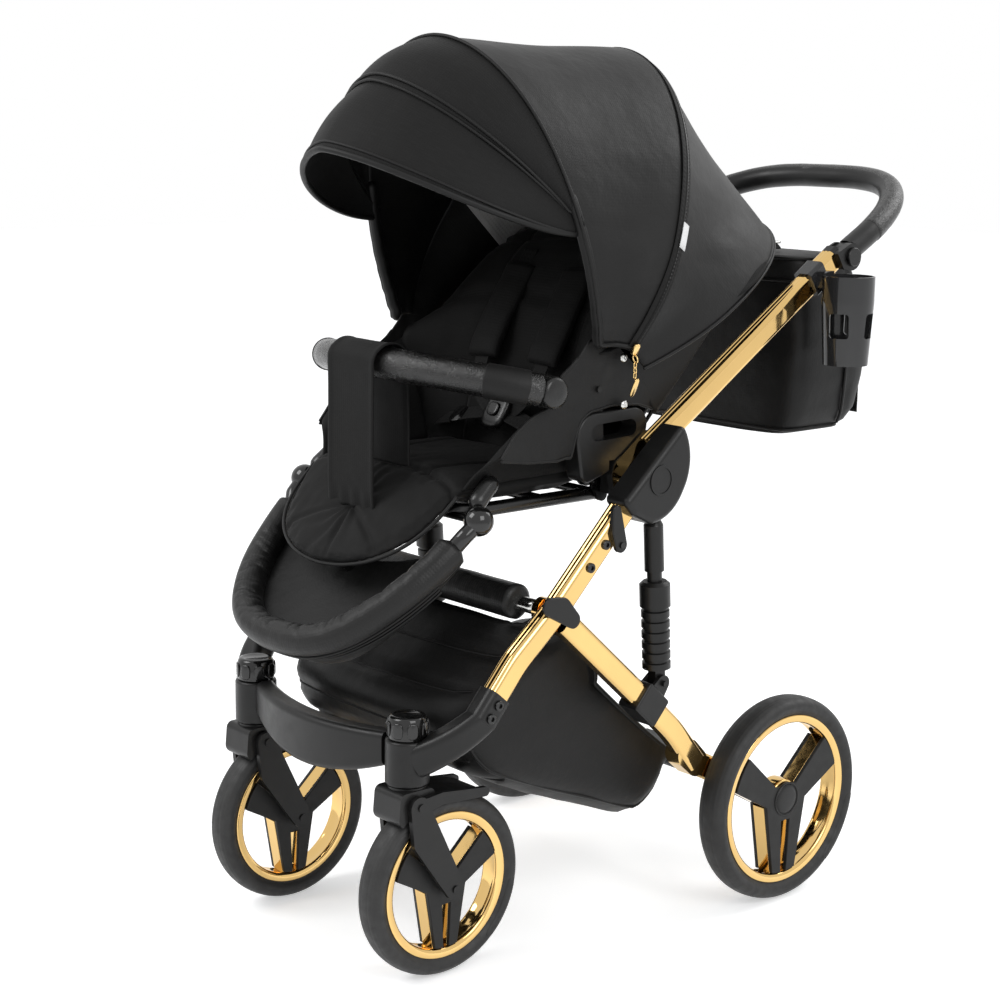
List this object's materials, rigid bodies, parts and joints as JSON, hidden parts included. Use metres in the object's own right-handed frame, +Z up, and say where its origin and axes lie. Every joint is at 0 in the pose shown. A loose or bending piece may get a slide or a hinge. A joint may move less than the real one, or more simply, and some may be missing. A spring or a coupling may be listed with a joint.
{
  "type": "baby stroller",
  "caption": "Folding baby stroller with lift-off seat, hood, bumper bar, leg rest, basket, bag and cup holder, on spoked air-tyre wheels with swivel front casters and sprung rear legs.",
  "frame": {"origin": "on the floor, midway across the wheels and midway between the front of the leg rest and the back of the handle", "axes": "+Z up, -Y towards the front of the stroller (the way it rolls), +X towards its left side, where the cup holder is"},
  "size_m": [0.589, 1.0618, 1.1745],
  "materials": {
    "gold_metal": "mirror-bright gold plating",
    "steel": "zinc-plated steel",
    "black_plastic": "fine matte texture",
    "clear_plastic": "glossy smoked translucent",
    "black_fabric": "coated woven polyester",
    "padding": "quilted padded polyester",
    "leatherette": "grained leatherette",
    "tyre": "air tyre rubber",
    "foam": "foam sleeve"
  },
  "bodies": {
    "chassis": {"front_bow": "black_plastic", "caster_barrel_left": "black_plastic", "caster_barrel_right": "black_plastic", "main_tube_left": "gold_metal", "main_tube_right": "gold_metal", "joint_cover_left": "black_plastic", "joint_cover_right": "black_plastic", "joint_hubs": "black_plastic", "leg_hinge_covers": "black_plastic", "chassis_bolts": "steel", "basket_bar": "foam", "basket": "black_fabric"},
    "rear_legs": {"rear_leg_left": "gold_metal", "rear_leg_right": "gold_metal", "rear_axle": "steel", "strut_clamps": "black_plastic"},
    "strut_sleeves": {"strut_sleeves": "black_plastic"},
    "strut_rods": {"strut_rods": "black_plastic"},
    "brake_pedal": {"brake_pedal": "black_plastic"},
    "rear_wheel_left": {"rear_tyre_left": "tyre", "rear_rim_left": "gold_metal", "rear_spokes_left": "black_plastic"},
    "rear_wheel_right": {"rear_tyre_right": "tyre", "rear_rim_right": "gold_metal", "rear_spokes_right": "black_plastic"},
    "rear_wheel_cap_left": {"rear_wheel_cap_left": "black_plastic"},
    "rear_wheel_cap_right": {"rear_wheel_cap_right": "black_plastic"},
    "caster_left": {"caster_head_left": "black_plastic"},
    "caster_right": {"caster_head_right": "black_plastic"},
    "swivel_lock_left": {"swivel_lock_left": "black_plastic"},
    "swivel_lock_right": {"swivel_lock_right": "black_plastic"},
    "fork_left": {"fork_left": "black_plastic"},
    "fork_right": {"fork_right": "black_plastic"},
    "front_wheel_left": {"front_tyre_left": "tyre", "front_rim_left": "gold_metal", "front_spokes_left": "black_plastic"},
    "front_wheel_right": {"front_tyre_right": "tyre", "front_rim_right": "gold_metal", "front_spokes_right": "black_plastic"},
    "handle_frame": {"upper_tube_left": "gold_metal", "upper_tube_right": "gold_metal", "handle_hinge_left": "black_plastic", "handle_hinge_right": "black_plastic", "cup_holder": "clear_plastic", "bag": "black_fabric"},
    "handlebar": {"handlebar": "leatherette"},
    "handle_button_left": {"handle_button_left": "black_plastic"},
    "handle_button_right": {"handle_button_right": "black_plastic"},
    "seat_unit": {"seat_adapters": "black_plastic", "seat_frame": "steel", "seat_pad": "padding", "hood_rear": "black_fabric"},
    "backrest": {"backrest": "padding"},
    "footrest": {"footrest": "padding"},
    "bumper": {"bumper_bar": "leatherette", "crotch_strap": "black_fabric"},
    "hood_front": {"hood_front": "black_fabric", "hood_brow": "black_fabric"},
    "visor": {"visor": "black_fabric"},
    "fold_latches": {"fold_latches": "black_plastic"}
  },
  "joints": [
    {"name": "rear_suspension", "type": "hinge", "parent": "chassis", "child": "rear_legs", "pos_m": [0, -0.256, 0.467], "axis": [1, 0, 0], "range_deg": [0, 3.5], "stiffness_Nm_per_rad": 600, "springref_deg": -6.88},
    {"name": "strut_swing", "type": "hinge", "parent": "rear_legs", "child": "strut_sleeves", "pos_m": [0, -0.067, 0.343], "axis": [1, 0, 0], "range_deg": [-1.6, 0]},
    {"name": "strut_stroke", "type": "slide", "parent": "strut_sleeves", "child": "strut_rods", "axis": [0, 0.0701, -0.9975], "range_m": [0, 0.0115]},
    {"name": "brake_pedal_tilt", "type": "hinge", "parent": "rear_legs", "child": "brake_pedal", "pos_m": [0, 0.148, 0.145], "axis": [1, 0, 0], "range_deg": [-18, 0]},
    {"name": "rear_wheel_spin_left", "type": "hinge", "parent": "rear_legs", "child": "rear_wheel_left", "pos_m": [0.268, 0.148, 0.145], "axis": [1, 0, 0], "continuous": true},
    {"name": "wheel_cap_push_left", "type": "slide", "parent": "rear_wheel_left", "child": "rear_wheel_cap_left", "axis": [-1, 0, 0], "range_m": [0, 0.003], "stiffness_N_per_m": 800, "springref_m": -0.002},
    {"name": "caster_swivel_left", "type": "hinge", "parent": "chassis", "child": "caster_left", "pos_m": [0.166, -0.433, 0.29], "axis": [0, 0, 1], "continuous": true},
    {"name": "swivel_lock_turn_left", "type": "hinge", "parent": "chassis", "child": "swivel_lock_left", "pos_m": [0.166, -0.433, 0.34], "axis": [0, 0, 1], "range_deg": [0, 90]},
    {"name": "fork_suspension_left", "type": "hinge", "parent": "caster_left", "child": "fork_left", "pos_m": [0.166, -0.437, 0.24], "axis": [1, 0, 0], "range_deg": [0, 4], "stiffness_Nm_per_rad": 120, "springref_deg": -5.73},
    {"name": "front_wheel_spin_left", "type": "hinge", "parent": "fork_left", "child": "front_wheel_left", "pos_m": [0.166, -0.381, 0.12], "axis": [1, 0, 0], "continuous": true},
    {"name": "handle_button_push_left", "type": "slide", "parent": "handle_frame", "child": "handle_button_left", "axis": [-1, 0, 0], "range_m": [0, 0.003], "stiffness_N_per_m": 800, "springref_m": -0.002},
    {"name": "rear_wheel_spin_right", "type": "hinge", "parent": "rear_legs", "child": "rear_wheel_right", "pos_m": [-0.268, 0.148, 0.145], "axis": [1, 0, 0], "continuous": true},
    {"name": "wheel_cap_push_right", "type": "slide", "parent": "rear_wheel_right", "child": "rear_wheel_cap_right", "axis": [1, 0, 0], "range_m": [0, 0.003], "stiffness_N_per_m": 800, "springref_m": -0.002},
    {"name": "caster_swivel_right", "type": "hinge", "parent": "chassis", "child": "caster_right", "pos_m": [-0.166, -0.433, 0.29], "axis": [0, 0, 1], "continuous": true},
    {"name": "swivel_lock_turn_right", "type": "hinge", "parent": "chassis", "child": "swivel_lock_right", "pos_m": [-0.166, -0.433, 0.34], "axis": [0, 0, 1], "range_deg": [-90, 0]},
    {"name": "fork_suspension_right", "type": "hinge", "parent": "caster_right", "child": "fork_right", "pos_m": [-0.166, -0.437, 0.24], "axis": [1, 0, 0], "range_deg": [0, 4], "stiffness_Nm_per_rad": 120, "springref_deg": -5.73},
    {"name": "front_wheel_spin_right", "type": "hinge", "parent": "fork_right", "child": "front_wheel_right", "pos_m": [-0.166, -0.381, 0.12], "axis": [1, 0, 0], "continuous": true},
    {"name": "handle_button_push_right", "type": "slide", "parent": "handle_frame", "child": "handle_button_right", "axis": [1, 0, 0], "range_m": [0, 0.003], "stiffness_N_per_m": 800, "springref_m": -0.002},
    {"name": "seat_lift", "type": "slide", "parent": "chassis", "child": "seat_unit", "axis": [0, 0, 1], "range_m": [0, 2]},
    {"name": "handle_fold", "type": "hinge", "parent": "chassis", "child": "handle_frame", "pos_m": [0, -0.096, 0.621], "axis": [1, 0, 0], "range_deg": [0, 150]},
    {"name": "handle_tilt", "type": "hinge", "parent": "handle_frame", "child": "handlebar", "pos_m": [0, 0.305, 0.889], "axis": [1, 0, 0], "range_deg": [-35, 60]},
    {"name": "backrest_recline", "type": "hinge", "parent": "seat_unit", "child": "backrest", "pos_m": [0, -0.101, 0.606], "axis": [1, 0, 0], "range_deg": [0, 25]},
    {"name": "footrest_tilt", "type": "hinge", "parent": "seat_unit", "child": "footrest", "pos_m": [0, -0.337, 0.585], "axis": [1, 0, 0], "range_deg": [0, 18]},
    {"name": "bumper_swing", "type": "hinge", "parent": "seat_unit", "child": "bumper", "pos_m": [0, -0.243, 0.741], "axis": [1, 0, 0], "range_deg": [-60, 0]},
    {"name": "hood_fold", "type": "hinge", "parent": "seat_unit", "child": "hood_front", "pos_m": [0, -0.147, 0.735], "axis": [1, 0, 0], "range_deg": [-38, 0], "deforming": ["hood_front", "hood_brow"]},
    {"name": "visor_flip", "type": "hinge", "parent": "hood_front", "child": "visor", "pos_m": [0, -0.184, 0.941], "axis": [1, 0, 0], "range_deg": [-40, 0], "deforming": ["visor"]},
    {"name": "fold_latch_release", "type": "hinge", "parent": "chassis", "child": "fold_latches", "pos_m": [0, -0.1561, 0.5427], "axis": [1, 0, 0], "range_deg": [0, 10], "stiffness_Nm_per_rad": 0.6, "springref_deg": -8.59}
  ],
  "couplings": [
    {"joint": "strut_swing", "follows": "rear_suspension", "ratio": -0.434},
    {"joint": "strut_stroke", "follows": "rear_suspension", "m_per_rad": 0.1812},
    {"joint": "handle_fold", "follows": "seat_lift", "rad_per_m": 1.3089}
  ]
}
